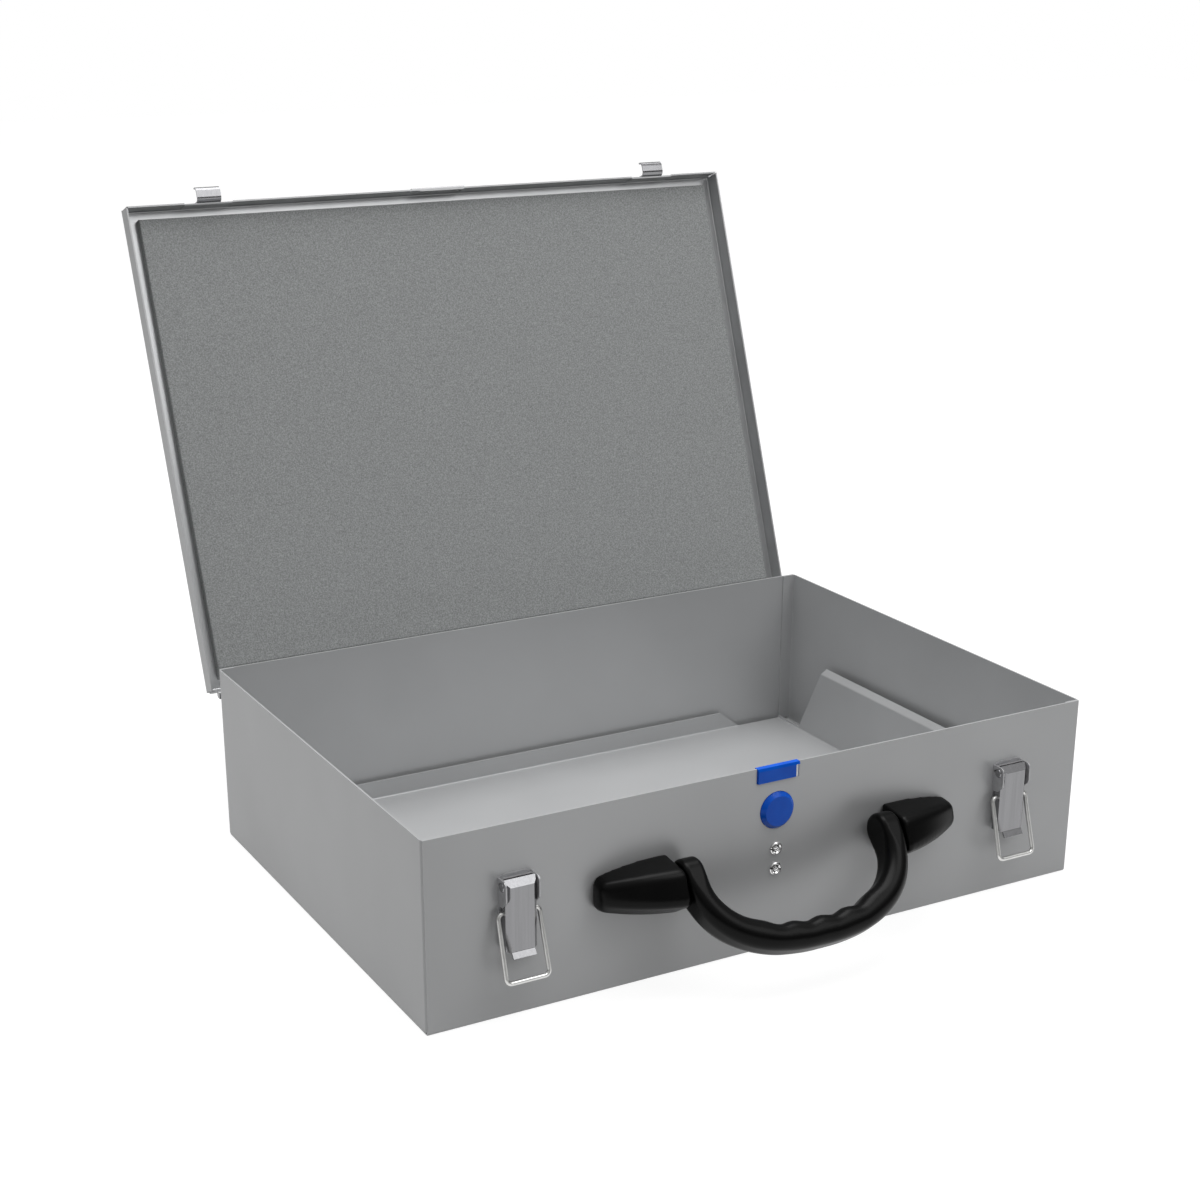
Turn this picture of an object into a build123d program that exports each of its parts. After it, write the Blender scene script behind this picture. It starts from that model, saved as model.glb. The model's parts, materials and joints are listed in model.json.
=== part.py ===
from build123d import *
import os
from math import cos, radians, sin

# Organizer case of bent steel sheet with a hinged lid, two draw latches,
# a swinging carrying handle and a push-button lock.
# Millimetres, +Z up, origin at the centre of the bottom face, front wall toward -Y.

os.makedirs("parts", exist_ok=True)

# Case
CASE_WIDTH = 440.0
CASE_DEPTH = 308.5
CASE_HEIGHT = 113.9
SHEET = 1.0
BEND = 1.5
FRONT = -CASE_DEPTH / 2
REAR = CASE_DEPTH / 2
CORNER_GROOVE = 0.7
PANEL_FLANGE = 9.0
PANEL_BEND = 2.0
FLANGE_RELIEF = 3.0

# Insert plate in the bottom of the case
INSERT_TOP = 6.0
INSERT_SIDE_GAP = 12.5
INSERT_FRONT_GAP = 5.0
INSERT_REAR_GAP = 4.5
INSERT_LIP = 12.5
INSERT_LIP_FOOT = 172.0
INSERT_LIP_TOP = 156.0
FLAP_RISE = 48.0
FLAP_LEAN = 2.5
FLAP_LIP = 3.6
FLAP_FOOT_GAP = 31.5
FLAP_TOP_GAP = 54.5
RAIL_SPACING = 240.0
RAIL_LENGTH = 250.0
RAIL_CROWN = 22.0
RAIL_FOOT = 11.0

# Hinge along the rear wall
HINGE_END_GAP = 0.5
KNUCKLE_COUNT = 15
KNUCKLE_GAP = 0.3
LEAF = 1.0
PIN_RADIUS = 1.2
PIN_FIT = 0.05
HINGE_DROP = 18.8
BASE_LEAF_DROP = 37.9
BASE_LEAF_CRANK_DROP = 25.9
CRANK_RISE = 3.0
LEAF_NOTCH_FIT = 0.6
LEAF_END_TRIM = 3.0

# Lid
LID_SIDE_FIT = 0.25
LID_FRONT_FIT = 1.25
LID_REAR_FIT = 1.15
LID_TOP_FIT = 0.4
LID_SKIRT = 13.0
LID_BEND = 2.0
LID_OPEN = 110.0
CORNER_SLIT = 0.8
CORNER_TURN = 45.0
FOAM_SIDE_GAP = 5.25
FOAM_THICKNESS = 7.5
FOAM_FRONT_MARGIN = 7.3
FOAM_REAR_MARGIN = 7.15
FOAM_ROUND = 1.2

# Catch hooks on the lid, and the latches under them
LATCH_INSET = 53.7
RECESS_WIDTH = 33.2
RECESS_DEPTH = 0.55
RECESS_HEIGHT = 11.0
RECESS_SLOPE = 45.0
HOOK_WIDTH = 16.2
HOOK_SHEET = 1.0
HOOK_RISE = 9.5
HOOK_DROP = 15.8
HOOK_REACH = 9.6
HOOK_LIP = 3.9
HOOK_BEND = 3.0
BRACKET_HALF_WIDTH = 10.4
BRACKET_SHEET = 0.9
BRACKET_END_DROP = 50.9
BRACKET_DROP = 28.3
BRACKET_ROUND = 5.0
CHEEK_END_DROP = 45.9
CHEEK_DROP = 29.9
CHEEK_ROUND = 3.2
CHEEK_REACH = 9.6
LEVER_PIN_OUT = 5.0
LEVER_PIN_DROP = 33.9
LEVER_PIN_RADIUS = 1.5
LEVER_PIN_HEAD = 2.6
LEVER_PIN_HEAD_RISE = 0.5
LEVER_HALF_WIDTH = 9.3
LEVER_SHEET = 1.0
LEVER_CAP = 3.9
LEVER_CAP_EDGE = 0.4
LEVER_BEVEL = 2.4
LEVER_END_DROP = 71.3
LEVER_LIP_DROP = 3.2
LEVER_LIP_OUT = 2.4
BAIL_OUT = 3.5
BAIL_DROP = 49.9
BAIL_WIRE = 1.25
BAIL_LENGTH = 38.0
BAIL_LEAN = 17.0
BAIL_HALF_TOP = 12.3
BAIL_HALF_BOTTOM = 12.9
BAIL_ROUND = 3.0
BAIL_END = 8.0
RIVET_RADIUS = 2.0
RIVET_HEAD = 3.0
RIVET_HEAD_RISE = 1.2
RIVET_TAIL_RISE = 0.8
RIVET_SLOPE = 25.0
LATCH_RIVET_LOW_DROP = 47.3
LATCH_RIVET_HIGH_DROP = 40.5

# Carrying handle
BOOT_INNER = 73.0
BOOT_WAIST = 100.0
BOOT_OUTER = 120.0
BOOT_ROUND = 5.0
BOOT_END_ROUND = 6.0
BOOT_INNER_OUTLINE = ((0, 76.0), (22.5, 74.0), (30.5, 56.0), (14.5, 45.8), (0, 44.0))
BOOT_WAIST_OUTLINE = ((0, 75.0), (17.5, 73.0), (23.0, 57.5), (12.0, 49.0), (0, 47.5))
BOOT_OUTER_OUTLINE = ((0, 71.5), (9.5, 70.0), (12.0, 60.0), (7.0, 53.0), (0, 52.0))
PIVOT_OUT = 13.5
PIVOT_HEIGHT = 65.5
PIVOT_RADIUS = 3.0
PIVOT_FIT = 0.05
PIVOT_PIN_END = 84.0
EYE_INNER = 60.0
EYE_OUTER = 72.5
EYE_RADIUS = 10.5
PIVOT_BORE = 9.5
PIVOT_END_GAP = 0.5
EYE_ROUND = 3.0
GRIP_SWING = 43.0
BOW_DEPTH = 48.3
BOW_SQUARENESS = 2.44
NECK_THICKNESS = 12.0
GRIP_THICKNESS = 17.0
GRIP_DEPTH = 21.0
GRIP_ROUND = 8.0
WAVE_SPACING = 18.0
WAVE_COUNT = 4
WAVE_DEPTH = 1.6
EYE_FIT = 0.05
BOW_STATIONS = (0.72, 0.87, 0.955, 0.992, 1.0)
HEAD_SLOPE = 30.0
SCREW_RADIUS = 1.75
SCREW_HEAD = 3.4
SCREW_HEAD_RISE = 1.8
SCREW_LENGTH = 8.0
SCREW_SPOTS = ((82.0, 52.0), (104.0, 64.0))

# Push-button lock
NOTCH_HALF_WIDTH = 14.3
NOTCH_DEPTH = 9.4
BUTTON_RADIUS = 11.2
BUTTON_DROP = 27.3
BUTTON_PROUD = 2.6
BUTTON_CHAMFER = 2.2
BUTTON_FIT = 0.2
POCKET_LEFT = -21.0
POCKET_RIGHT = 17.5
POCKET_DROP = 9.4
POCKET_COVER = 0.4
POCKET_DEPTH = 1.2
POCKET_SLOPE = 20.0
STRIKE_DEPTH = 0.55
TONGUE_LEFT = -13.8
TONGUE_RIGHT = 11.5
TONGUE_LENGTH = 8.9
TONGUE_PROUD = 1.3
TONGUE_BACK = 2.6
TONGUE_ROOT_BACK = 4.5
TONGUE_ROOT_LENGTH = 17.9
TONGUE_CAP = 1.6
TONGUE_CAP_SLOPE = 0.5
TONGUE_CAP_HALF_WIDTH = 14.0
SPRING_SHEET = 0.8
SPRING_FOOT_END_DROP = 68.4
SPRING_FOOT_DROP = 47.9
SPRING_FOOT_WIDTH = 16.0
BLADE_END_DROP = 47.6
BLADE_DROP = 9.9
BLADE_WIDTH = 22.0
BLADE_GAP = 0.2
NECK_WIDTH = 12.0
NECK_HEIGHT = 6.0
LOCK_RIVET_LOW_DROP = 63.4
LOCK_RIVET_HIGH_DROP = 50.9
LOCK_RIVET_HEAD = 3.9
LOCK_RIVET_RISE = 1.4

# Places that follow from the sizes
HINGE_LENGTH = CASE_WIDTH - 2 * HINGE_END_GAP
LATCH_X = CASE_WIDTH / 2 - LATCH_INSET
LID_WIDTH = CASE_WIDTH + 2 * (LID_SIDE_FIT + SHEET)
FOAM_WIDTH = LID_WIDTH - 2 * (SHEET + FOAM_SIDE_GAP)
LID_FRONT = FRONT - LID_FRONT_FIT - SHEET
LID_REAR = REAR + LID_REAR_FIT + SHEET
LID_TOP = CASE_HEIGHT + LID_TOP_FIT + SHEET
LID_INSIDE = LID_TOP - SHEET
SKIRT_BOTTOM = LID_TOP - LID_SKIRT
HINGE_HEIGHT = CASE_HEIGHT - HINGE_DROP
BASE_LEAF_BOTTOM = CASE_HEIGHT - BASE_LEAF_DROP
BASE_LEAF_CRANK = CASE_HEIGHT - BASE_LEAF_CRANK_DROP
BRACKET_TOP = CASE_HEIGHT - BRACKET_DROP
LEVER_PIN_HEIGHT = CASE_HEIGHT - LEVER_PIN_DROP
NOTCH_BOTTOM = CASE_HEIGHT - NOTCH_DEPTH
BUTTON_HEIGHT = CASE_HEIGHT - BUTTON_DROP
POCKET_BOTTOM = CASE_HEIGHT - POCKET_DROP
POCKET_TOP = CASE_HEIGHT - POCKET_COVER
TONGUE_BOTTOM = CASE_HEIGHT - TONGUE_LENGTH
TONGUE_ROOT_BOTTOM = CASE_HEIGHT - TONGUE_ROOT_LENGTH
BLADE_TOP = CASE_HEIGHT - BLADE_DROP
BLADE_BOTTOM = CASE_HEIGHT - BLADE_END_DROP
SPRING_FOOT_TOP = CASE_HEIGHT - SPRING_FOOT_DROP
SPRING_FOOT_BOTTOM = CASE_HEIGHT - SPRING_FOOT_END_DROP
LOCK_RIVET_LOW = CASE_HEIGHT - LOCK_RIVET_LOW_DROP
LOCK_RIVET_HIGH = CASE_HEIGHT - LOCK_RIVET_HIGH_DROP
BRACKET_BOTTOM = CASE_HEIGHT - BRACKET_END_DROP
CHEEK_BOTTOM = CASE_HEIGHT - CHEEK_END_DROP
CHEEK_TOP = CASE_HEIGHT - CHEEK_DROP
LEVER_BOTTOM = CASE_HEIGHT - LEVER_END_DROP
BAIL_HEIGHT = CASE_HEIGHT - BAIL_DROP
LATCH_RIVET_LOW = CASE_HEIGHT - LATCH_RIVET_LOW_DROP
LATCH_RIVET_HIGH = CASE_HEIGHT - LATCH_RIVET_HIGH_DROP
LEVER_FRONT = LEVER_PIN_OUT + LEVER_CAP
LEVER_BACK = LEVER_PIN_OUT - LEVER_CAP
KNUCKLE_RADIUS = PIN_RADIUS + PIN_FIT + LEAF
HINGE_Y = LID_REAR + KNUCKLE_RADIUS
KNUCKLE_PITCH = HINGE_LENGTH / KNUCKLE_COUNT
KNUCKLES = range(KNUCKLE_COUNT)
WALL_BACK = FRONT + SHEET


def fold(points, bend, thickness=SHEET):
    """Section of a sheet along the points, with rounded bends."""
    with BuildSketch(mode=Mode.PRIVATE) as section:
        with BuildLine():
            FilletPolyline(*points, radius=bend)
        trace(line_width=thickness)
    return section.sketch


def keep(part, name):
    """Name a piece and write it to its own file."""
    part.label = name
    export_step(part, f"parts/{name}.step")


def swung_open(part):
    """Lid piece drawn closed, turned about the hinge to where it rests."""
    return part.rotate(Axis((0, HINGE_Y, HINGE_HEIGHT), (-1, 0, 0)), LID_OPEN)


def out(distance):
    """Place at the given distance in front of the front wall."""
    return FRONT - distance


# Base shell
with BuildPart() as base_shell:
    wall = REAR - SHEET / 2
    floor = SHEET / 2
    with BuildSketch(Plane.YZ):
        add(fold([(-wall, CASE_HEIGHT), (-wall, floor), (wall, floor), (wall, CASE_HEIGHT)], BEND))
    extrude(amount=CASE_WIDTH / 2 - CORNER_GROOVE, both=True)
    with BuildSketch(Plane.XZ.offset(-FRONT)):
        with Locations((0, NOTCH_BOTTOM)):
            Rectangle(2 * NOTCH_HALF_WIDTH, CASE_HEIGHT, align=(Align.CENTER, Align.MIN))
        with Locations((0, BUTTON_HEIGHT)):
            Circle(BUTTON_RADIUS + BUTTON_FIT)
        with Locations((0, LOCK_RIVET_LOW), (0, LOCK_RIVET_HIGH)):
            Circle(RIVET_RADIUS)
        for x in (-LATCH_X, LATCH_X):
            with Locations((x, LATCH_RIVET_LOW), (x, LATCH_RIVET_HIGH)):
                Circle(RIVET_RADIUS)
        for x, z in SCREW_SPOTS:
            with Locations((x, z), (-x, z)):
                Circle(SCREW_RADIUS)
    extrude(amount=-SHEET, mode=Mode.SUBTRACT)
keep(base_shell.part, "base_shell")

# Side panels
with BuildPart() as side_panel:
    depth = CASE_DEPTH - 2 * SHEET
    width = PANEL_FLANGE + SHEET
    with BuildSketch(Plane.XY.offset(SHEET)):
        with Locations((CASE_WIDTH / 2, 0)):
            Rectangle(width, depth, align=(Align.MAX, Align.CENTER))
    extrude(amount=CASE_HEIGHT - SHEET)
    fillet(side_panel.edges().filter_by(Axis.X).group_by(Axis.Z)[0], PANEL_BEND)
    outer_face = side_panel.faces().sort_by(Axis.X)[-1]
    fillet(outer_face.edges().sort_by(Axis.Z)[:-1], PANEL_BEND - SHEET / 2)
    open_faces = side_panel.faces().filter_by(Axis.X).sort_by(Axis.X)[:1]
    open_faces += side_panel.faces().filter_by(Axis.Z).sort_by(Axis.Z)[-1:]
    offset(amount=-SHEET, openings=open_faces)
    inner_x = CASE_WIDTH / 2 - width
    for y in (-depth / 2, depth / 2):
        with BuildSketch(Plane.XY.offset(SHEET)):
            with Locations((inner_x, y)):
                Rectangle(2 * (PANEL_FLANGE - PANEL_BEND), 2 * FLANGE_RELIEF)
        extrude(amount=FLANGE_RELIEF, mode=Mode.SUBTRACT)
keep(side_panel.part, "right_side_panel")
with BuildPart() as left_side_panel:
    mirror(side_panel.part, about=Plane.YZ)
keep(left_side_panel.part, "left_side_panel")

# Insert plate
plate_front = WALL_BACK + INSERT_FRONT_GAP - SHEET
plate_rear = REAR - SHEET - INSERT_REAR_GAP + SHEET / 2
plate_middle = INSERT_TOP - SHEET / 2
flap_x = (CASE_WIDTH + SHEET) / 2 - INSERT_SIDE_GAP
flap_top = INSERT_TOP + FLAP_RISE
lip_x = flap_x + FLAP_LEAN + FLAP_LIP
with BuildPart() as insert_plate:
    with BuildSketch(Plane.XZ.offset(-plate_front)):
        half = [(flap_x, plate_middle), (flap_x + FLAP_LEAN, flap_top), (lip_x, flap_top + FLAP_LIP)]
        left_half = [(-x, z) for x, z in reversed(half)]
        add(fold(left_half + half, BEND))
    extrude(amount=plate_front - plate_rear)
    with BuildSketch(Plane.YZ):
        with BuildLine():
            Polyline(
                (plate_front, 0),
                (plate_rear, 0),
                (plate_rear, INSERT_TOP + BEND),
                (REAR - FLAP_FOOT_GAP, INSERT_TOP + BEND),
                (REAR - FLAP_TOP_GAP, CASE_HEIGHT / 2),
                (REAR - FLAP_TOP_GAP, CASE_HEIGHT),
                (FRONT + FLAP_TOP_GAP, CASE_HEIGHT),
                (FRONT + FLAP_TOP_GAP, CASE_HEIGHT / 2),
                (FRONT + FLAP_FOOT_GAP, INSERT_TOP + BEND),
                (plate_front, INSERT_TOP + BEND),
                close=True,
            )
        make_face()
    extrude(amount=CASE_WIDTH / 2, both=True, mode=Mode.INTERSECT)
with BuildPart() as insert_lip:
    with BuildSketch(Plane.YZ):
        lip_top = INSERT_TOP + INSERT_LIP
        add(fold([(0, plate_middle), (plate_rear, plate_middle), (plate_rear, lip_top)], BEND))
    extrude(amount=INSERT_LIP_FOOT, both=True)
    with BuildSketch(Plane.XZ):
        with BuildLine():
            Polyline(
                (-INSERT_LIP_FOOT, 0),
                (INSERT_LIP_FOOT, 0),
                (INSERT_LIP_FOOT, INSERT_TOP),
                (INSERT_LIP_TOP, lip_top),
                (-INSERT_LIP_TOP, lip_top),
                (-INSERT_LIP_FOOT, INSERT_TOP),
                close=True,
            )
        make_face()
    extrude(amount=CASE_DEPTH, both=True, mode=Mode.INTERSECT)
with BuildPart() as insert:
    add(insert_plate.part)
    add(insert_lip.part)
keep(insert.part, "insert_plate")

# Rails that carry the insert plate
with BuildPart() as insert_rails:
    low = SHEET * 3 / 2
    high = INSERT_TOP - SHEET * 3 / 2
    crown = RAIL_CROWN / 2
    foot = crown + RAIL_FOOT
    for x in (-RAIL_SPACING / 2, RAIL_SPACING / 2):
        with BuildSketch(Plane.XZ):
            rail = [(-foot, low), (-crown, low), (-crown, high), (crown, high), (crown, low), (foot, low)]
            add(fold([(x + dx, z) for dx, z in rail], SHEET))
        extrude(amount=RAIL_LENGTH / 2, both=True)
keep(insert_rails.part, "insert_rails")

# Hinge leaves with their knuckles, and the pin
with BuildPart() as base_leaf:
    hinge_plane = Plane.YZ.offset(-HINGE_LENGTH / 2)
    leaf_in = REAR + LEAF / 2
    leaf_out = LID_REAR + LEAF / 2
    crank_top = BASE_LEAF_CRANK + CRANK_RISE
    with BuildSketch(Plane.YZ):
        low_half = [(leaf_in, BASE_LEAF_BOTTOM), (leaf_in, BASE_LEAF_CRANK)]
        add(fold([*low_half, (leaf_out, crank_top), (leaf_out, HINGE_HEIGHT)], LEAF))
        with Locations((HINGE_Y, HINGE_HEIGHT)):
            Circle(KNUCKLE_RADIUS)
            Circle(PIN_RADIUS + PIN_FIT, mode=Mode.SUBTRACT)
    extrude(amount=HINGE_LENGTH / 2, both=True)
    for i in KNUCKLES[1::2]:
        with BuildSketch(Plane.YZ.offset(i * KNUCKLE_PITCH - HINGE_LENGTH / 2 - KNUCKLE_GAP)):
            with Locations((HINGE_Y, HINGE_HEIGHT - KNUCKLE_RADIUS - LEAF_NOTCH_FIT)):
                side = 4 * KNUCKLE_RADIUS
                Rectangle(side, side, align=(Align.CENTER, Align.MIN))
        extrude(amount=KNUCKLE_PITCH + 2 * KNUCKLE_GAP, mode=Mode.SUBTRACT)
    for x in (-HINGE_LENGTH / 2, HINGE_LENGTH / 2):
        with BuildSketch(Plane.XY):
            with Locations((x, HINGE_Y)):
                Rectangle(2 * LEAF_END_TRIM, 4 * KNUCKLE_RADIUS)
        extrude(amount=HINGE_HEIGHT - KNUCKLE_RADIUS, mode=Mode.SUBTRACT)
keep(base_leaf.part, "hinge_base_leaf")

with BuildPart() as lid_leaf:
    leaf_top = LID_TOP - LID_BEND
    with BuildSketch(Plane.YZ):
        with Locations((LID_REAR, HINGE_HEIGHT)):
            Rectangle(LEAF, leaf_top - HINGE_HEIGHT, align=(Align.MIN, Align.MIN))
        with Locations((HINGE_Y, HINGE_HEIGHT)):
            Circle(KNUCKLE_RADIUS)
            Circle(PIN_RADIUS + PIN_FIT, mode=Mode.SUBTRACT)
    extrude(amount=HINGE_LENGTH / 2, both=True)
    for i in KNUCKLES[::2]:
        with BuildSketch(Plane.YZ.offset(i * KNUCKLE_PITCH - HINGE_LENGTH / 2 - KNUCKLE_GAP)):
            with Locations((HINGE_Y, HINGE_HEIGHT + KNUCKLE_RADIUS + LEAF_NOTCH_FIT)):
                side = 4 * KNUCKLE_RADIUS
                Rectangle(side, side, align=(Align.CENTER, Align.MAX))
        extrude(amount=KNUCKLE_PITCH + 2 * KNUCKLE_GAP, mode=Mode.SUBTRACT)
keep(swung_open(lid_leaf.part), "hinge_lid_leaf")

with BuildPart() as hinge_pin:
    with BuildSketch(Plane.YZ):
        with Locations((HINGE_Y, HINGE_HEIGHT)):
            Circle(PIN_RADIUS)
    extrude(amount=HINGE_LENGTH / 2, both=True)
keep(hinge_pin.part, "hinge_pin")

# Lid shell with its pressed recesses and the lock pocket, drawn closed
with BuildPart() as lid_shell:
    lid_depth = LID_REAR - LID_FRONT
    with BuildSketch(Plane.XY.offset(SKIRT_BOTTOM)):
        with Locations((0, (LID_REAR + LID_FRONT) / 2)):
            Rectangle(LID_WIDTH, lid_depth)
    extrude(amount=LID_SKIRT)
    fillet(lid_shell.faces().sort_by(Axis.Z)[-1].edges(), LID_BEND)
    offset(amount=-SHEET, openings=lid_shell.faces().sort_by(Axis.Z)[0])
    for x in (-LATCH_X, LATCH_X):
        with BuildSketch(Plane.XZ.offset(-(LID_FRONT + SHEET))):
            with Locations((x, SKIRT_BOTTOM)):
                Rectangle(RECESS_WIDTH, RECESS_HEIGHT, align=(Align.CENTER, Align.MIN))
        extrude(amount=-RECESS_DEPTH, taper=RECESS_SLOPE)
        with BuildSketch(Plane.XZ.offset(-LID_FRONT)):
            with Locations((x, SKIRT_BOTTOM - SHEET)):
                Rectangle(RECESS_WIDTH, RECESS_HEIGHT + SHEET, align=(Align.CENTER, Align.MIN))
        extrude(amount=-RECESS_DEPTH, taper=RECESS_SLOPE, mode=Mode.SUBTRACT)
    with BuildSketch(Plane.XZ.offset(-(LID_FRONT + SHEET))):
        with Locations((0, SKIRT_BOTTOM)):
            Rectangle(RECESS_WIDTH, POCKET_BOTTOM - SKIRT_BOTTOM, align=(Align.CENTER, Align.MIN))
    extrude(amount=-STRIKE_DEPTH)
    pocket_width = POCKET_RIGHT - POCKET_LEFT
    pocket_height = POCKET_TOP - POCKET_BOTTOM
    pocket_middle = ((POCKET_LEFT + POCKET_RIGHT) / 2, (POCKET_TOP + POCKET_BOTTOM) / 2)
    with BuildSketch(Plane.XZ.offset(-LID_FRONT)):
        with Locations(pocket_middle):
            RectangleRounded(pocket_width + 2 * SHEET, pocket_height + SHEET, SHEET)
    extrude(amount=POCKET_DEPTH, taper=POCKET_SLOPE)
    with BuildSketch(Plane.XZ.offset(-(LID_FRONT + SHEET))):
        with Locations(pocket_middle):
            RectangleRounded(pocket_width, pocket_height, SHEET)
    extrude(amount=POCKET_DEPTH, mode=Mode.SUBTRACT)
    for x in (-LID_WIDTH / 2, LID_WIDTH / 2):
        for y in (LID_FRONT, LID_REAR):
            with BuildSketch(Plane.XY.offset(SKIRT_BOTTOM)):
                turn = CORNER_TURN if x * y > 0 else -CORNER_TURN
                with Locations(Location((x, y, 0), (0, 0, turn))):
                    Rectangle(4 * LID_BEND, CORNER_SLIT)
            extrude(amount=LID_SKIRT - LID_BEND - SHEET, mode=Mode.SUBTRACT)
keep(swung_open(lid_shell.part), "lid_shell")

# Foam pad, bevelled behind so that it passes the rear rim
with BuildPart() as foam_pad:
    foam_front = LID_FRONT + FOAM_FRONT_MARGIN
    foam_rear = LID_REAR - FOAM_REAR_MARGIN
    foam_face = LID_INSIDE - FOAM_THICKNESS
    with BuildSketch(Plane.YZ):
        with BuildLine():
            Polyline(
                (foam_front, LID_INSIDE),
                (foam_rear, LID_INSIDE),
                (foam_rear - FOAM_THICKNESS, foam_face),
                (foam_front, foam_face),
                close=True,
            )
        make_face()
    extrude(amount=FOAM_WIDTH / 2, both=True)
    fillet(foam_pad.faces().sort_by(Axis.Z)[0].edges(), FOAM_ROUND)
keep(swung_open(foam_pad.part), "foam_pad")

# Catch hooks
for name, x in (("left_catch_hook", -LATCH_X), ("right_catch_hook", LATCH_X)):
    with BuildPart() as catch_hook:
        strip = LID_FRONT + RECESS_DEPTH - HOOK_SHEET / 2
        ledge = LID_TOP - HOOK_DROP + HOOK_SHEET / 2
        lip = LID_FRONT - HOOK_REACH + HOOK_SHEET / 2
        with BuildSketch(Plane.YZ.offset(x)):
            shape = [(strip, SKIRT_BOTTOM + HOOK_RISE), (strip, ledge), (lip, ledge), (lip, ledge + HOOK_LIP)]
            add(fold(shape, HOOK_BEND, HOOK_SHEET))
        extrude(amount=HOOK_WIDTH / 2, both=True)
    keep(swung_open(catch_hook.part), name)

def lever_body(x, inset):
    """Solid of the lever, its faces set in by the inset: flat front, slanted cap, round back."""
    front = LEVER_FRONT - inset
    cap = LEVER_CAP - inset
    edge = (out(front), LEVER_PIN_HEIGHT + LEVER_CAP_EDGE)
    crown = (out(LEVER_PIN_OUT), LEVER_PIN_HEIGHT + cap)
    back = (out(LEVER_PIN_OUT - cap), LEVER_PIN_HEIGHT)
    with BuildPart(mode=Mode.PRIVATE) as body:
        with BuildSketch(Plane.YZ.offset(x)):
            with BuildLine():
                foot = (out(LEVER_PIN_OUT - cap), LEVER_BOTTOM)
                Polyline(crown, edge, (out(front), LEVER_BOTTOM), foot, back)
                CenterArc((out(LEVER_PIN_OUT), LEVER_PIN_HEIGHT), cap, 0, 90)
            make_face()
        extrude(amount=LEVER_HALF_WIDTH - inset, both=True)
        front_face = body.faces().filter_by(Axis.Y).sort_by(Axis.Y)[0]
        chamfer(front_face.edges().filter_by(Axis.Z), LEVER_BEVEL)
    return body.part


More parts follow.
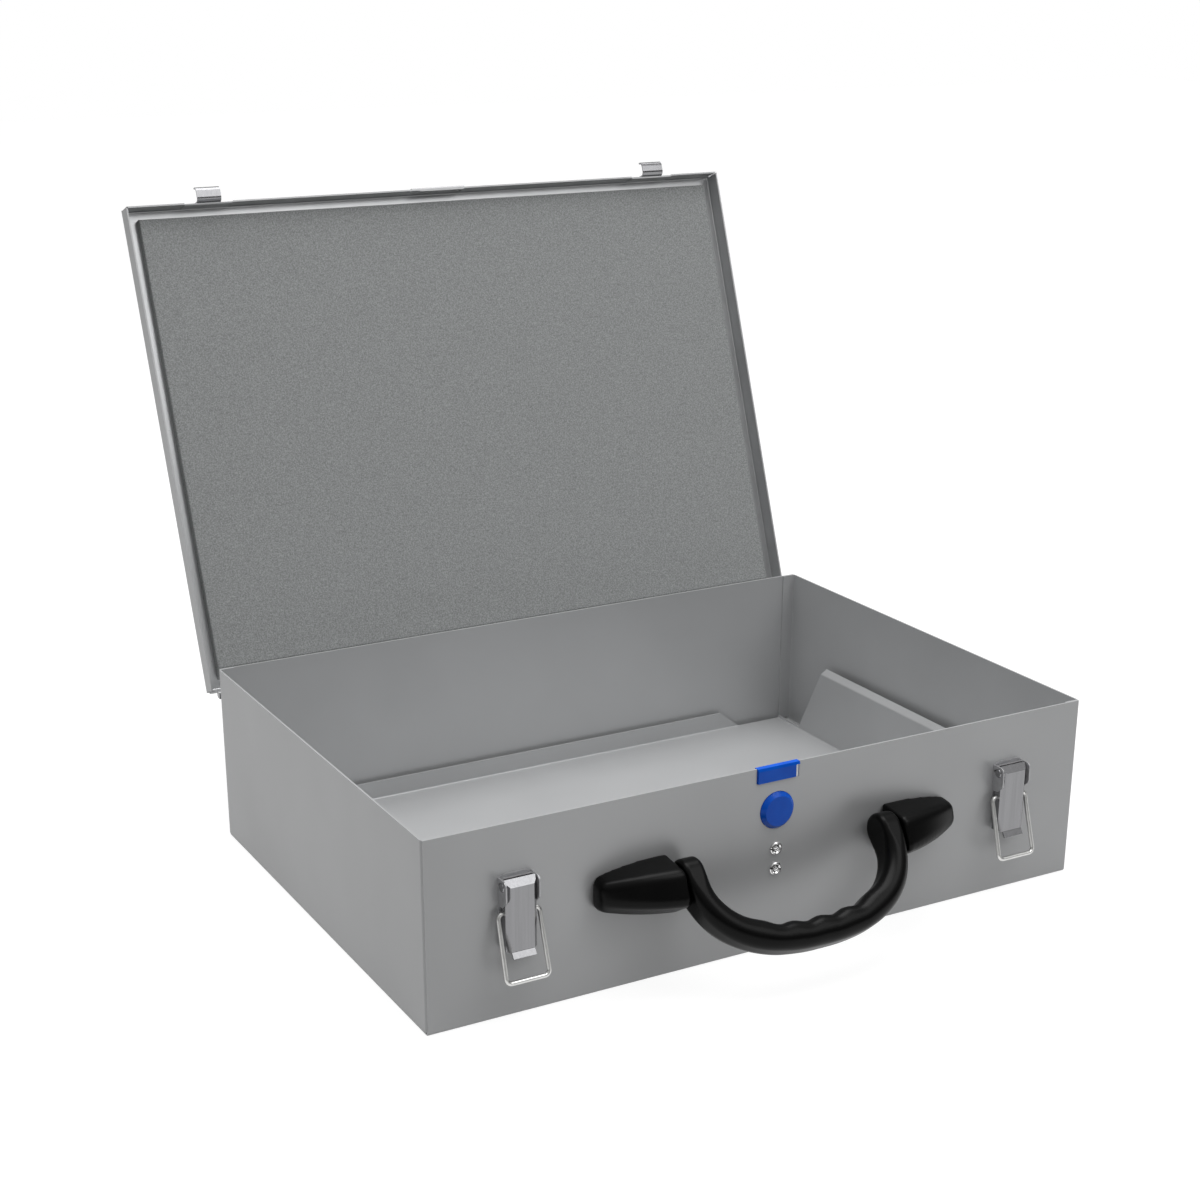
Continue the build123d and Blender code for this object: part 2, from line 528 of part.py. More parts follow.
# Latches
for name, x in (("left", -LATCH_X), ("right", LATCH_X)):
    with BuildPart() as bracket:
        with BuildSketch(Plane.XZ.offset(-FRONT)):
            with Locations((x, BRACKET_BOTTOM)):
                height = BRACKET_TOP - BRACKET_BOTTOM
                Rectangle(2 * BRACKET_HALF_WIDTH, height, align=(Align.CENTER, Align.MIN))
        extrude(amount=BRACKET_SHEET)
        fillet(bracket.edges().filter_by(Axis.Y).group_by(Axis.Z)[-1], BRACKET_ROUND)
        for cheek in (x - BRACKET_HALF_WIDTH, x + BRACKET_HALF_WIDTH - BRACKET_SHEET):
            with BuildSketch(Plane.YZ.offset(cheek)) as outline:
                with BuildLine():
                    Polyline(
                        (out(0), CHEEK_BOTTOM),
                        (out(0), CHEEK_TOP),
                        (out(CHEEK_REACH), CHEEK_TOP),
                        (out(CHEEK_REACH), LEVER_PIN_HEIGHT - 2 * LEVER_CAP),
                        (out(LEVER_PIN_OUT), CHEEK_BOTTOM),
                        close=True,
                    )
                make_face()
                fillet(outline.vertices().group_by(Axis.X)[0], CHEEK_ROUND)
            extrude(amount=BRACKET_SHEET)
        with BuildSketch(Plane.YZ.offset(x)):
            with Locations((out(LEVER_PIN_OUT), LEVER_PIN_HEIGHT)):
                Circle(LEVER_PIN_RADIUS)
        extrude(amount=BRACKET_HALF_WIDTH, both=True, mode=Mode.SUBTRACT)
        with BuildSketch(Plane.XZ.offset(-FRONT)):
            with Locations((x, LATCH_RIVET_LOW), (x, LATCH_RIVET_HIGH)):
                Circle(RIVET_RADIUS)
        extrude(amount=BRACKET_SHEET, mode=Mode.SUBTRACT)
    keep(bracket.part, f"{name}_latch_bracket")

    with BuildPart() as lever_pin:
        with BuildSketch(Plane.YZ.offset(x)):
            with Locations((out(LEVER_PIN_OUT), LEVER_PIN_HEIGHT)):
                Circle(LEVER_PIN_RADIUS)
        extrude(amount=BRACKET_HALF_WIDTH, both=True)
        for plane in (Plane.YZ.offset(x + BRACKET_HALF_WIDTH), -Plane.YZ.offset(x - BRACKET_HALF_WIDTH)):
            with BuildSketch(plane):
                with Locations(plane.to_local_coords(Vector(0, out(LEVER_PIN_OUT), LEVER_PIN_HEIGHT))):
                    Circle(LEVER_PIN_HEAD)
            extrude(amount=LEVER_PIN_HEAD_RISE, taper=HEAD_SLOPE)
    keep(lever_pin.part, f"{name}_lever_pin")

    with BuildPart() as lever:
        add(lever_body(x, 0))
        add(lever_body(x, LEVER_SHEET), mode=Mode.SUBTRACT)
        with BuildSketch(Plane.YZ.offset(x)):
            with Locations((out(LEVER_BACK), LEVER_BOTTOM)):
                Rectangle(2 * LEVER_SHEET, LEVER_PIN_HEIGHT - LEVER_BOTTOM, align=(Align.MAX, Align.MIN))
        extrude(amount=LEVER_HALF_WIDTH - LEVER_SHEET, both=True, mode=Mode.SUBTRACT)
        with BuildSketch(Plane.YZ.offset(x)):
            web = LEVER_FRONT - LEVER_SHEET / 2
            low = LEVER_BOTTOM - LEVER_LIP_DROP
            front_edge = [(out(web), LEVER_BOTTOM + LEVER_CAP), (out(web), LEVER_BOTTOM)]
            add(fold([*front_edge, (out(web + LEVER_LIP_OUT), low)], LEVER_SHEET, LEVER_SHEET))
        extrude(amount=LEVER_HALF_WIDTH - LEVER_BEVEL, both=True)
        with BuildSketch(Plane.YZ.offset(x)):
            with Locations((out(LEVER_PIN_OUT), LEVER_PIN_HEIGHT)):
                Circle(LEVER_PIN_RADIUS + PIN_FIT)
            with Locations((out(BAIL_OUT), BAIL_HEIGHT)):
                Circle(BAIL_WIRE + PIN_FIT)
        extrude(amount=LEVER_HALF_WIDTH, both=True, mode=Mode.SUBTRACT)
    keep(lever.part, f"{name}_lever")

    with BuildPart() as bail:
        hang = Vector(0, -sin(radians(BAIL_LEAN)), -cos(radians(BAIL_LEAN)))
        face_out = Vector(1, 0, 0).cross(hang)
        bail_plane = Plane(origin=(x, out(BAIL_OUT), BAIL_HEIGHT), x_dir=(1, 0, 0), z_dir=face_out)
        with BuildLine(bail_plane):
            wire = FilletPolyline(
                (-BAIL_END, 0),
                (-BAIL_HALF_TOP, 0),
                (-BAIL_HALF_BOTTOM, BAIL_LENGTH),
                (BAIL_HALF_BOTTOM, BAIL_LENGTH),
                (BAIL_HALF_TOP, 0),
                (BAIL_END, 0),
                radius=BAIL_ROUND,
            )
        with BuildSketch(Plane(origin=wire @ 0, z_dir=wire % 0)):
            Circle(BAIL_WIRE)
        sweep()
    keep(bail.part, f"{name}_bail")


def rivet(head_radius, head_rise, grip):
    """Rivet along +Z: its head above zero, its shank and tail below."""
    with BuildPart(mode=Mode.PRIVATE) as body:
        Cylinder(RIVET_RADIUS, grip, align=(Align.CENTER, Align.CENTER, Align.MAX))
        with BuildSketch():
            Circle(head_radius)
        extrude(amount=head_rise, taper=RIVET_SLOPE)
        with BuildSketch(Plane.XY.offset(-grip)):
            Circle(RIVET_HEAD)
        extrude(amount=-RIVET_TAIL_RISE, taper=RIVET_SLOPE)
    return body.part


# Rivets of the latch brackets
with BuildPart() as latch_rivets:
    for x in (-LATCH_X, LATCH_X):
        for z in (LATCH_RIVET_LOW, LATCH_RIVET_HIGH):
            with Locations(Plane.XZ.offset(-out(BRACKET_SHEET)).shift_origin((x, out(BRACKET_SHEET), z))):
                add(rivet(RIVET_HEAD, RIVET_HEAD_RISE, BRACKET_SHEET + SHEET))
keep(latch_rivets.part, "latch_rivets")

# Rivets of the lock, their heads dished around a boss
with BuildPart() as lock_rivets:
    for z in (LOCK_RIVET_LOW, LOCK_RIVET_HIGH):
        with Locations(Plane.XZ.offset(-FRONT).shift_origin((0, FRONT, z))):
            add(rivet(LOCK_RIVET_HEAD, LOCK_RIVET_RISE, SHEET + SPRING_SHEET))
    with BuildSketch(Plane.XZ.offset(-out(LOCK_RIVET_RISE))):
        with Locations((0, LOCK_RIVET_LOW), (0, LOCK_RIVET_HIGH)):
            Circle(LOCK_RIVET_HEAD - SHEET)
            Circle(RIVET_RADIUS - SHEET / 2, mode=Mode.SUBTRACT)
    extrude(amount=-LOCK_RIVET_RISE / 2, mode=Mode.SUBTRACT)
keep(lock_rivets.part, "lock_rivets")

# Flat spring of the lock: riveted foot and moving blade
with BuildPart() as spring_foot:
    with BuildSketch(Plane.XZ.offset(-WALL_BACK)):
        with Locations((0, SPRING_FOOT_BOTTOM)):
            foot_height = SPRING_FOOT_TOP - SPRING_FOOT_BOTTOM
            Rectangle(SPRING_FOOT_WIDTH, foot_height, align=(Align.CENTER, Align.MIN))
        with Locations((0, LOCK_RIVET_LOW), (0, LOCK_RIVET_HIGH)):
            Circle(RIVET_RADIUS, mode=Mode.SUBTRACT)
    extrude(amount=-SPRING_SHEET)
    fillet(spring_foot.edges().filter_by(Axis.Y).group_by(Axis.Z)[0], RIVET_RADIUS)
keep(spring_foot.part, "lock_spring_foot")

blade_front = WALL_BACK + BLADE_GAP
blade_back = blade_front + SPRING_SHEET
with BuildPart() as spring_blade:
    with BuildSketch(Plane.XZ.offset(-blade_front)):
        with Locations((0, BLADE_BOTTOM)):
            Rectangle(NECK_WIDTH, NECK_HEIGHT, align=(Align.CENTER, Align.MIN))
        with Locations((0, BLADE_BOTTOM + NECK_HEIGHT)):
            Rectangle(BLADE_WIDTH, BLADE_TOP - BLADE_BOTTOM - NECK_HEIGHT, align=(Align.CENTER, Align.MIN))
    extrude(amount=-SPRING_SHEET)
keep(spring_blade.part, "lock_spring_blade")

# Release button
with BuildPart() as release_button:
    with BuildSketch(Plane.XZ.offset(-blade_front)):
        with Locations((0, BUTTON_HEIGHT)):
            Circle(BUTTON_RADIUS)
    extrude(amount=blade_front - out(BUTTON_PROUD))
    chamfer(release_button.faces().sort_by(Axis.Y)[0].edges(), BUTTON_CHAMFER)
keep(release_button.part, "release_button")

# Lock tongue in the notch of the front wall
with BuildPart() as lock_tongue:
    with BuildSketch(Plane.YZ.offset(TONGUE_LEFT)):
        with BuildLine():
            Polyline(
                (out(TONGUE_PROUD), TONGUE_BOTTOM),
                (out(TONGUE_PROUD), CASE_HEIGHT - TONGUE_CAP),
                (FRONT + TONGUE_BACK, CASE_HEIGHT - TONGUE_CAP),
                (FRONT + TONGUE_BACK, TONGUE_BOTTOM + SHEET),
                (FRONT + TONGUE_ROOT_BACK, TONGUE_BOTTOM),
                (FRONT + TONGUE_ROOT_BACK, TONGUE_ROOT_BOTTOM),
                (blade_back, TONGUE_ROOT_BOTTOM),
                (blade_back, TONGUE_BOTTOM),
                close=True,
            )
        make_face()
    extrude(amount=TONGUE_RIGHT - TONGUE_LEFT)
    with BuildSketch(Plane.YZ):
        with BuildLine():
            Polyline(
                (out(TONGUE_PROUD), CASE_HEIGHT - TONGUE_CAP),
                (out(TONGUE_PROUD - TONGUE_CAP_SLOPE), CASE_HEIGHT),
                (FRONT + TONGUE_BACK, CASE_HEIGHT),
                (FRONT + TONGUE_BACK, CASE_HEIGHT - TONGUE_CAP),
                close=True,
            )
        make_face()
    extrude(amount=TONGUE_CAP_HALF_WIDTH, both=True)
keep(lock_tongue.part, "lock_tongue")

# Handle boots
with BuildPart() as boot:
    stations = (
        (BOOT_INNER, BOOT_INNER_OUTLINE),
        (BOOT_WAIST, BOOT_WAIST_OUTLINE),
        (BOOT_OUTER, BOOT_OUTER_OUTLINE),
    )
    for station, corners in stations:
        with BuildSketch(Plane.YZ.offset(station)) as section:
            with BuildLine():
                Polyline(*[(out(distance), z) for distance, z in corners], close=True)
            make_face()
            fillet(section.vertices().sort_by(Axis.X)[:3], BOOT_ROUND)
    loft()
    end_edges = boot.faces().sort_by(Axis.X)[-1].edges()
    clear_of_wall = FRONT - BOOT_END_ROUND
    fillet(end_edges.filter_by(lambda edge: edge.bounding_box().min.Y < clear_of_wall), BOOT_END_ROUND)
    with BuildSketch(Plane.YZ.offset(BOOT_INNER)):
        with Locations((out(PIVOT_OUT), PIVOT_HEIGHT)):
            Circle(PIVOT_RADIUS)
    extrude(amount=PIVOT_PIN_END - BOOT_INNER, mode=Mode.SUBTRACT)
    with BuildSketch(Plane.XZ.offset(-FRONT)):
        with Locations(*SCREW_SPOTS):
            Circle(SCREW_RADIUS)
    extrude(amount=SCREW_LENGTH, mode=Mode.SUBTRACT)
keep(boot.part, "right_handle_boot")
with BuildPart() as left_boot:
    mirror(boot.part, about=Plane.YZ)
keep(left_boot.part, "left_handle_boot")

# Pins and screws of the handle
with BuildPart() as pivot_pins:
    pin_start = EYE_OUTER - PIVOT_BORE + PIVOT_END_GAP
    for start, length in ((pin_start, 1), (-pin_start, -1)):
        with BuildSketch(Plane.YZ.offset(start)):
            with Locations((out(PIVOT_OUT), PIVOT_HEIGHT)):
                Circle(PIVOT_RADIUS)
        extrude(amount=length * (PIVOT_PIN_END - pin_start))
keep(pivot_pins.part, "handle_pivot_pins")

with BuildPart() as handle_screws:
    for x, z in SCREW_SPOTS:
        for spot in (x, -x):
            with BuildSketch(Plane.XZ.offset(-WALL_BACK)):
                with Locations((spot, z)):
                    Circle(SCREW_RADIUS)
            extrude(amount=SHEET + SCREW_LENGTH - SHEET / 2)
            with BuildSketch(Plane.XZ.offset(-WALL_BACK)):
                with Locations((spot, z)):
                    Circle(SCREW_HEAD)
            extrude(amount=-SCREW_HEAD_RISE, taper=HEAD_SLOPE)
keep(handle_screws.part, "handle_screws")

# Handle grip: a bow with finger waves, swung out from the wall
swing = radians(GRIP_SWING)
bow_down = Vector(0, -sin(swing), -cos(swing))
bow_half_span = (EYE_INNER + EYE_OUTER) / 2
pivot = Vector(0, out(PIVOT_OUT), PIVOT_HEIGHT)


def bow_depth(x):
    """Depth of the bow's centre line below the pivots at the given place across."""
    return BOW_DEPTH * (1 - abs(x / bow_half_span) ** BOW_SQUARENESS) ** (1 / BOW_SQUARENESS)


def bow_section(x, wave):
    """Section of the grip square to its centre line, cut back on the fingers' side by the wave."""
    depth = bow_depth(x)
    outward = Vector(
        (1 if x > 0 else -1) * abs(x / bow_half_span) ** (BOW_SQUARENESS - 1) / bow_half_span,
        0,
        0,
    ) + bow_down * ((depth / BOW_DEPTH) ** (BOW_SQUARENESS - 1) / BOW_DEPTH)
    across = outward.normalized()
    share = depth / BOW_DEPTH
    thickness = NECK_THICKNESS + (GRIP_THICKNESS - NECK_THICKNESS) * share
    rounding = EYE_ROUND + (GRIP_ROUND - EYE_ROUND) * min(1, share * 2)
    centre = pivot + Vector(x, 0, 0) + bow_down * depth + across * (wave / 2)
    along = across.cross(Vector(1, 0, 0).cross(bow_down))
    with BuildSketch(Plane(origin=centre, x_dir=across, z_dir=along), mode=Mode.PRIVATE) as section:
        RectangleRounded(thickness - wave, GRIP_DEPTH, min(rounding, (thickness - wave) / 2 - EYE_FIT))
    return section.sketch


with BuildPart() as grip:
    half_wave = WAVE_SPACING / 2
    wave_stations = [(n * half_wave, WAVE_DEPTH * (n % 2)) for n in range(WAVE_COUNT + 1)]
    side_stations = [(bow_half_span * share, 0) for share in BOW_STATIONS]
    right_side = wave_stations + side_stations
    left_side = [(-x, wave) for x, wave in reversed(right_side[1:])]
    loft(sections=[bow_section(x, wave).face() for x, wave in left_side + right_side])
    for x, direction in ((EYE_INNER, 1), (-EYE_INNER, -1)):
        with BuildPart(mode=Mode.PRIVATE) as eye:
            with BuildSketch(Plane.YZ.offset(x)):
                with Locations((out(PIVOT_OUT), PIVOT_HEIGHT)):
                    Circle(EYE_RADIUS)
            extrude(amount=direction * (EYE_OUTER - EYE_INNER))
            fillet(eye.edges(), EYE_ROUND)
        add(eye.part)
    for face, depth in ((EYE_OUTER, -PIVOT_BORE), (-EYE_OUTER, PIVOT_BORE)):
        with BuildSketch(Plane.YZ.offset(face)):
            with Locations((out(PIVOT_OUT), PIVOT_HEIGHT)):
                Circle(PIVOT_RADIUS + PIVOT_FIT)
        extrude(amount=depth, mode=Mode.SUBTRACT)
keep(grip.part, "handle_grip")
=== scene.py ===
import json
from math import cos, pi, radians, sin, sqrt

import bmesh
import bpy
from bpy.props import FloatProperty, FloatVectorProperty, IntProperty, PointerProperty
from mathutils import Euler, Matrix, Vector, noise


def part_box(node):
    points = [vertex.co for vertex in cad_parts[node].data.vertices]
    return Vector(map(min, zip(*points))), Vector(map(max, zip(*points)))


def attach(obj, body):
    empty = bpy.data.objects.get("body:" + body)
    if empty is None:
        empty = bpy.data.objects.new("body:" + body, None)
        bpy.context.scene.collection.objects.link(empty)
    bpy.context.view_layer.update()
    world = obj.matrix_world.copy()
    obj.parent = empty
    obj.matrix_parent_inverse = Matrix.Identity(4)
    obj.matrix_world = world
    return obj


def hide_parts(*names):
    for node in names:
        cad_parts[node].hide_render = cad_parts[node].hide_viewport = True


bl_info = {
    "name": "Organizer Case",
    "version": (1, 0, 0),
    "blender": (4, 5, 0),
    "location": "3D View > Sidebar > Case",
    "description": "Finishes, fasteners, foam pad and studio stage for a sheet steel organizer case",
    "category": "Object",
}

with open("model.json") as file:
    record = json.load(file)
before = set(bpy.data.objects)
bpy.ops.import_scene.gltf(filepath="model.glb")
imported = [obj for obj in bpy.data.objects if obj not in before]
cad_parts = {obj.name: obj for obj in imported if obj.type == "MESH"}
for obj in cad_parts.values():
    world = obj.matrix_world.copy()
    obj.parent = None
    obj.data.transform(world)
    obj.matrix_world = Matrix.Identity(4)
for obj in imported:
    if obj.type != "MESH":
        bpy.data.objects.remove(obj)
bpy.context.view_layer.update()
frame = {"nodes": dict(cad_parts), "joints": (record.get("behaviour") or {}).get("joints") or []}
JOINTS = {joint["name"]: joint for joint in frame["joints"]}

MM = 0.001

# Camera of the photograph, fitted to its edges: metres, degrees, and pixels of its frame
CAMERA_PLACE = (-0.6162, -1.04805, 0.5452)
CAMERA_AZIMUTH = -28.80
CAMERA_ELEVATION = 20.77
CAMERA_ROLL = 0.03
CAMERA_LENS = 62.18
CAMERA_SENSOR = 36.0
PHOTO_WIDTH = 1200
PHOTO_CENTRE = (583.1, 728.9)

# Floor and lights of the stage, in metres
FLOOR_SIZE = 12.0
FLOOR_GLOW = 0.88
KEY_PLACE = (0.1, 0.3, 1.8)
KEY_SIZE = 1.5
SIDE_PLACE = (0.6, -1.1, 1.5)
SIDE_SIZE = 1.1
SIDE_SHARE = 0.34
LIGHT_AIM = Vector((0, 0, 0.12))

# Part of a noise's range over which a tint goes from dark to light
TINT_SPAN = (0.35, 0.65)

# Cells and waves of the foam pad, how far the soft block draws in from its sides and from its
# face, and where that face looks while the lid is open
FOAM_CUT = 7 * MM
FOAM_WAVE = 30 * MM
FOAM_SIDE_DRAW = 2.5 * MM
FOAM_FACE_DRAW = 1.5 * MM
LID_OPEN = radians(-JOINTS["lid_hinge"]["range_deg"][0])
FOAM_OUTWARD = Vector((0, -sin(LID_OPEN), -cos(LID_OPEN)))

# Moulded skin of the handle's boots
BOOT_VOXEL = 0.9 * MM
BOOT_EASE_ROUNDS = 30
BOOT_EASE_FACTOR = 0.5

# Hoods of the latch brackets: the angles round the lever's pin between which they bend, in
# degrees, and the steps of that bend and of their rounded ends
HOOD_START = 180
HOOD_END = 108
HOOD_STEPS = 12
SHOULDER_STEPS = 6

# Faces of the front wall, where the side panels' flanges lie against its back, and the front of
# the brackets on it, in millimetres
WALL_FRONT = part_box("base_shell")[0].y / MM
WALL_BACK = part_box("left_side_panel")[0].y / MM
BRACKET_SHEET = 0.9
BRACKET_FRONT = WALL_FRONT - BRACKET_SHEET

# Tidying of meshes: distances at which points become one, how near a cutting plane a point
# counts as on it, and the angle in degrees below which an edge is smooth
SEAM = 0.005 * MM
DOUBLE = 0.002 * MM
SLIVER = 0.05 * MM
PLANE_FIT = 0.001 * MM
SMOOTH_ANGLE = 35

STEEL_NODES = (
    "base_shell",
    "left_side_panel",
    "right_side_panel",
    "insert_plate",
    "insert_rails",
    "hinge_base_leaf",
    "hinge_lid_leaf",
    "lid_shell",
)
BRACKET_NODES = ("left_latch_bracket", "right_latch_bracket")
ZINC_NODES = (
    "hinge_pin",
    "left_lever_pin",
    "right_lever_pin",
    "left_lever",
    "right_lever",
    "left_catch_hook",
    "right_catch_hook",
    "handle_pivot_pins",
    "lock_spring_foot",
    "lock_spring_blade",
)
WIRE_NODES = ("left_bail", "right_bail")
BLACK_NODES = ("left_handle_boot", "right_handle_boot", "handle_grip")
BLUE_NODES = ("release_button", "lock_tongue")


def linear(hex_colour):
    """sRGB hex colour as linear red, green, blue and alpha."""
    channels = []
    for start in (0, 2, 4):
        value = int(hex_colour[start : start + 2], 16) / 255
        channels.append(value / 12.92 if value <= 0.04045 else ((value + 0.055) / 1.055) ** 2.4)
    return (*channels, 1.0)


def add_node(tree, kind, links=(), **settings):
    """Add a node, set its properties and inputs, and link its inputs."""
    node = tree.nodes.new(kind)
    for name, value in settings.items():
        if hasattr(node, name):
            setattr(node, name, value)
        else:
            node.inputs[name.replace("_", " ")].default_value = value
    for socket, source in dict(links).items():
        tree.links.new(source, node.inputs[socket])
    return node


def new_object(name, data):
    """New object in the scene."""
    item = bpy.data.objects.new(name, data)
    bpy.context.scene.collection.objects.link(item)
    return item


def plain_mesh(maker):
    """Mesh of an object with its modifiers carried out; the object itself goes."""
    graph = bpy.context.evaluated_depsgraph_get()
    mesh = bpy.data.meshes.new_from_object(maker.evaluated_get(graph))
    bpy.data.objects.remove(maker)
    return mesh


def new_material(name, **settings):
    """Node material with its output and a shader of the given settings."""
    material = bpy.data.materials.new(name)
    material.use_nodes = True
    tree = material.node_tree
    tree.nodes.clear()
    shader = add_node(tree, "ShaderNodeBsdfPrincipled", **settings)
    add_node(tree, "ShaderNodeOutputMaterial", {"Surface": shader.outputs["BSDF"]})
    return material, tree, shader


def add_noise(tree, size, stretch=(1, 1, 1), detail=2.0, **settings):
    """Noise on the object's own coordinates, its features about the given size in metres."""
    place = add_node(tree, "ShaderNodeTexCoord")
    grain = add_node(tree, "ShaderNodeMapping", {"Vector": place.outputs["Object"]}, Scale=stretch)
    links = {"Vector": grain.outputs["Vector"]}
    pattern = add_node(tree, "ShaderNodeTexNoise", links, Scale=1 / size, Detail=detail, **settings)
    return pattern.outputs[0]


def add_bump(tree, shader, pattern, distance, strength):
    """Give a shader small relief that follows a pattern."""
    bump = add_node(tree, "ShaderNodeBump", {"Height": pattern}, Distance=distance, Strength=strength)
    tree.links.new(bump.outputs["Normal"], shader.inputs["Normal"])


def add_roughness(tree, shader, pattern, low, high):
    """Drive a shader's roughness with a pattern, between two values."""
    spread = add_node(tree, "ShaderNodeMapRange", {"Value": pattern}, To_Min=low, To_Max=high)
    tree.links.new(spread.outputs["Result"], shader.inputs["Roughness"])


def add_tint(tree, shader, pattern, dark, light):
    """Drive a shader's colour with a pattern, between two colours."""
    ramp = add_node(tree, "ShaderNodeValToRGB", {"Fac": pattern})
    for number, colour in enumerate((dark, light)):
        ramp.color_ramp.elements[number].position = TINT_SPAN[number]
        ramp.color_ramp.elements[number].color = colour
    tree.links.new(ramp.outputs["Color"], shader.inputs["Base Color"])


def shade(colour, share):
    """A share of a colour, with its alpha."""
    return (*(Vector(colour) * share), 1.0)


def powder_coated_steel(finish):
    """Silver grey powder coat with metal flake on sheet steel.

    Satin: it mirrors its surroundings very softly, and a faint orange peel breaks the mirror.
    """
    material, tree, shader = new_material("powder_coated_steel", Metallic=0.22)
    cloud = add_noise(tree, 90 * MM)
    add_tint(tree, shader, cloud, shade(finish.steel_colour, 0.97), shade(finish.steel_colour, 1.03))
    peel = add_noise(tree, finish.peel_size)
    add_roughness(tree, shader, peel, 0.33, 0.41)
    add_bump(tree, shader, peel, 0.02 * MM, 0.2)
    return material


def inner_steel_painted_highlight(finish):
    """The steel inside the lid: a lighter copy of the outer coat, its extra lightness a painted
    highlight for the light the inside catches; it also mirrors more.
    """
    material, tree, shader = new_material("inner_steel_painted_highlight", Metallic=0.6)
    cloud = add_noise(tree, 30 * MM)
    # Painted highlight: the inside is painted 1.1 to 1.2 times as light as the outer coat.
    add_tint(tree, shader, cloud, shade(finish.steel_colour, 1.1), shade(finish.steel_colour, 1.2))
    add_roughness(tree, shader, add_noise(tree, finish.peel_size), 0.26, 0.32)
    return material


def metal(name, metallic, grain, colours, roughness, **pattern):
    """Metal whose colour and roughness both waver with its grain."""
    material, tree, shader = new_material(name, Metallic=metallic)
    waver = add_noise(tree, grain, **pattern)
    add_tint(tree, shader, waver, linear(colours[0]), linear(colours[1]))
    add_roughness(tree, shader, waver, *roughness)
    return material


def zinc_plated_steel():
    """Bright zinc on stamped steel: grey metal, drawn into very faint upright streaks by the press."""
    return metal(
        "zinc_plated_steel",
        metallic=0.9,
        grain=1.5 * MM,
        colours=("88888A", "8E8E90"),
        roughness=(0.17, 0.19),
        stretch=(1, 1, 0.03),
    )


def satin_zinc():
    """Zinc on the pressed brackets, rubbed matt by the press: it scatters more than it mirrors."""
    return metal(
        "satin_zinc",
        metallic=0.45,
        grain=2.5 * MM,
        colours=("ACACAE", "B8B8BA"),
        roughness=(0.36, 0.44),
    )


def zinc_plated_wire():
    """Bright zinc on drawn wire: paler than the stampings, with fine cloudy patches."""
    return metal(
        "zinc_plated_wire",
        metallic=1.0,
        grain=3 * MM,
        colours=("D2D2D0", "DADAD8"),
        roughness=(0.3, 0.34),
        detail=3.0,
    )


def polished_steel():
    """Polished rivet heads: near mirror, dark where they see the room, with fine scuffs."""
    return metal(
        "polished_steel",
        metallic=1.0,
        grain=0.4 * MM,
        colours=("D8D8D8", "E2E2E2"),
        roughness=(0.08, 0.12),
    )


def moulded_plastic(name, colours, roughness, specular, grain):
    """Injection moulded plastic: even colour, its gloss broken by a very fine spark-eroded grain.

    The real grain is about a tenth of a millimetre, and is drawn coarser so that it shows.
    """
    material, tree, shader = new_material(name, IOR=1.5, Specular_IOR_Level=specular)
    add_tint(tree, shader, add_noise(tree, 14 * MM), linear(colours[0]), linear(colours[1]))
    spark = add_noise(tree, grain)
    add_roughness(tree, shader, spark, *roughness)
    add_bump(tree, shader, spark, 0.015 * MM, 0.2)
    return material


def moulded_black_nylon():
    """Black nylon of the handle: satin, with a coarse grain."""
    return moulded_plastic(
        "moulded_black_nylon",
        colours=("030303", "050505"),
        roughness=(0.26, 0.34),
        specular=0.12,
        grain=0.5 * MM,
    )


def moulded_blue_abs():
    """Blue ABS of the button and the tongue: glossier than the handle."""
    return moulded_plastic(
        "moulded_blue_abs",
        colours=("0456CD", "065FD8"),
        roughness=(0.16, 0.24),
        specular=0.18,
        grain=0.6 * MM,
    )


def polyether_foam(finish):
    """Open-cell polyether foam cut from a block: matt grey, its cells in light or in shadow.

    The real cells are about half a millimetre, and the speckles are drawn coarser so that they show.
    """
    material, tree, shader = new_material("polyether_foam", Roughness=0.95, Specular_IOR_Level=0.1)
    speckle = add_noise(tree, finish.foam_cell, detail=3.0, Roughness=0.7)
    add_tint(tree, shader, speckle, shade(finish.foam_colour, 0.74), shade(finish.foam_colour, 1.3))
    add_bump(tree, shader, speckle, 0.25 * MM, 0.35)
    return material


def give(nodes, material):
    """Put one material on CAD nodes."""
    for name in nodes:
        mesh = frame["nodes"][name].data
        mesh.materials.clear()
        mesh.materials.append(material)


def give_inside(name, material):
    """Put a second material on the faces of a CAD node that look toward its middle."""
    mesh = frame["nodes"][name].data
    inside = len(mesh.materials)
    mesh.materials.append(material)
    low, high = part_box(name)
    middle = (low + high) / 2
    for face in mesh.polygons:
        if face.normal.dot(middle - face.center) > 0:
            face.material_index = inside


def wall_places(node, wall):
    """Points on a wall at y, in millimetres, where the separate solids of a CAD node sit.

    The solids are round and full of facets, so their middles are rounded to a tenth.
    """
    body = bmesh.new()
    body.from_mesh(frame["nodes"][node].data)
    bmesh.ops.remove_doubles(body, verts=body.verts, dist=DOUBLE)
    waiting = set(body.verts)
    places = []
    while waiting:
        growing = [waiting.pop()]
        solid = []
        while growing:
            vert = growing.pop()
            solid.append(vert.co / MM)
            reached = {edge.other_vert(vert) for edge in vert.link_edges} & waiting
            waiting -= reached
            growing.extend(reached)
        lows = [min(corner[axis] for corner in solid) for axis in range(3)]
        highs = [max(corner[axis] for corner in solid) for axis in range(3)]
        x, _, z = [round((low + high) / 2, 1) for low, high in zip(lows, highs)]
        places.append((x, wall, z))
    body.free()
    return sorted(places)


